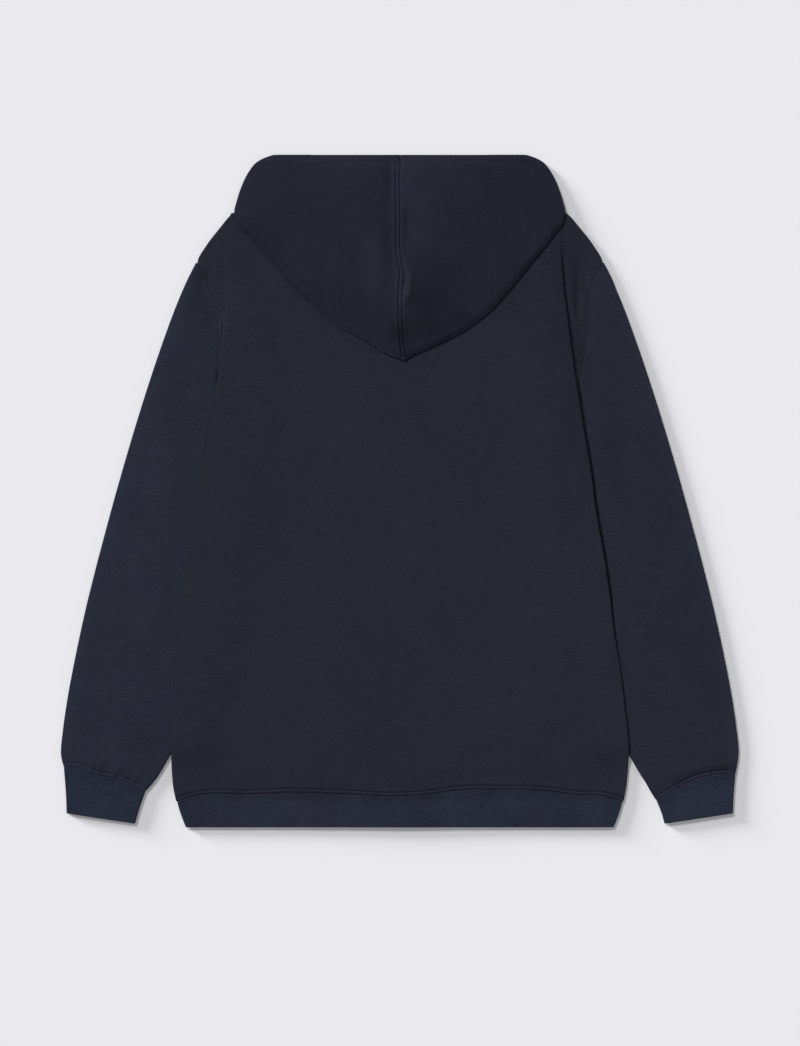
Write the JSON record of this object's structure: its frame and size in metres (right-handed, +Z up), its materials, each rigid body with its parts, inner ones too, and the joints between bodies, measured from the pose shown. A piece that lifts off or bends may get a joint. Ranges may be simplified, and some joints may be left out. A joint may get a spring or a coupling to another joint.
{
  "type": "zip-up hoodie",
  "caption": "Dark navy fleece zip-up hoodie laid flat with its back up, its hood spread and its sleeves beside the body.",
  "frame": {"origin": "middle of the footprint, on the surface the garment lies on", "axes": "+Z up out of the back panel, +Y towards the hood, +X towards the wearer's right"},
  "size_m": [0.7576, 0.7535, 0.0183],
  "materials": {
    "fleece": "matte",
    "rib": "matte",
    "zip_tape": "matte",
    "zip_metal": "satin"
  },
  "bodies": {
    "garment": {"back": "fleece", "front_left": "fleece", "front_right": "fleece", "sleeve_left": "fleece", "sleeve_right": "fleece", "cuff_left": "rib", "cuff_right": "rib", "hem_band": "rib", "hood_left": "fleece", "hood_right": "fleece", "zip_tape_left": "zip_tape", "zip_tape_right": "zip_tape", "zip_chain": "zip_metal", "zip_box": "zip_metal", "zip_stop_left": "zip_metal", "zip_stop_right": "zip_metal", "zip_slider": "zip_metal"},
    "pull_tab": {"zip_pull_tab": "zip_metal"}
  },
  "joints": [
    {"name": "pull_tab_hinge", "type": "hinge", "parent": "garment", "child": "pull_tab", "pos_m": [0, 0.235, 0.00175], "axis": [1, 0, 0], "range_deg": [0, 170]}
  ]
}
